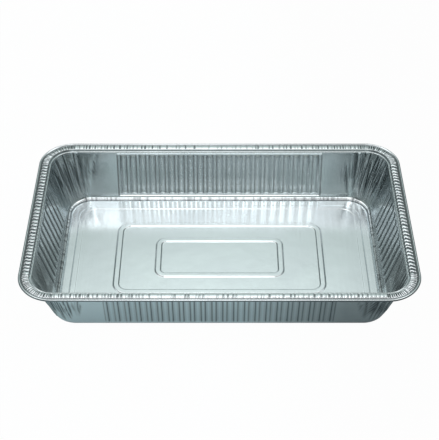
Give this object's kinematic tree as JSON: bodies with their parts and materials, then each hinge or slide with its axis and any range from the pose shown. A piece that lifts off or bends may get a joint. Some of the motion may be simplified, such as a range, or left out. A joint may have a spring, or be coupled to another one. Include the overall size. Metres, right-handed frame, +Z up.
{
  "type": "foil food tray",
  "caption": "Deep rectangular aluminium foil tray with fluted walls, gathered corners, beaded floor and rolled rim, for baking, holding and carrying food.",
  "frame": {"origin": "middle of the underside of the floor, which the tray stands on", "axes": "+X along the tray, +Y across it towards the far long wall, +Z up out of its mouth"},
  "size_m": [0.527, 0.325, 0.08],
  "materials": {
    "foil": "bright rolled foil"
  },
  "bodies": {
    "root": {"foil_tray": "foil"}
  },
  "joints": []
}
